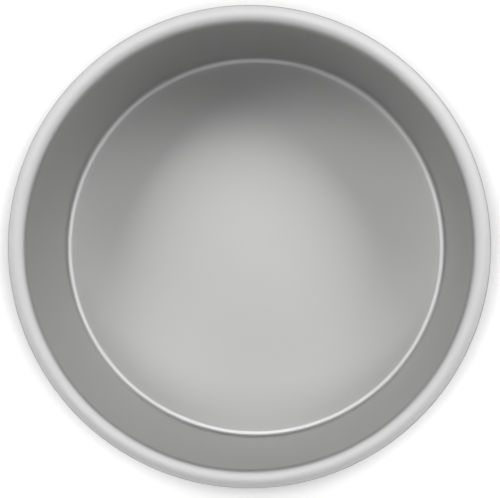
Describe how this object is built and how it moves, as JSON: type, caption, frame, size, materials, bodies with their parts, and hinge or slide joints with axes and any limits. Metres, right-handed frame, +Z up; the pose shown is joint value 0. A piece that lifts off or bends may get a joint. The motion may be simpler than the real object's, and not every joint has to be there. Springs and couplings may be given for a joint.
{
  "type": "round cake pan",
  "caption": "Deep round cake pan in satin anodised aluminium: flat floor, small inside corner radius, straight wall and a rim rolled outwards round a core wire.",
  "frame": {"origin": "centre of the underside, on the surface that the pan stands on", "axes": "+Z up along the axis that the pan is turned about, out of its mouth; X and Y are alike, and the gap between the ends of the hidden rim wire is on +X"},
  "size_m": [0.1656, 0.1656, 0.0774],
  "materials": {
    "anodised_aluminium": "satin, etched and clear anodised",
    "aluminium_wire": "drawn wire"
  },
  "bodies": {
    "root": {"pan_shell": "anodised_aluminium", "rim_wire": "aluminium_wire"}
  },
  "joints": []
}
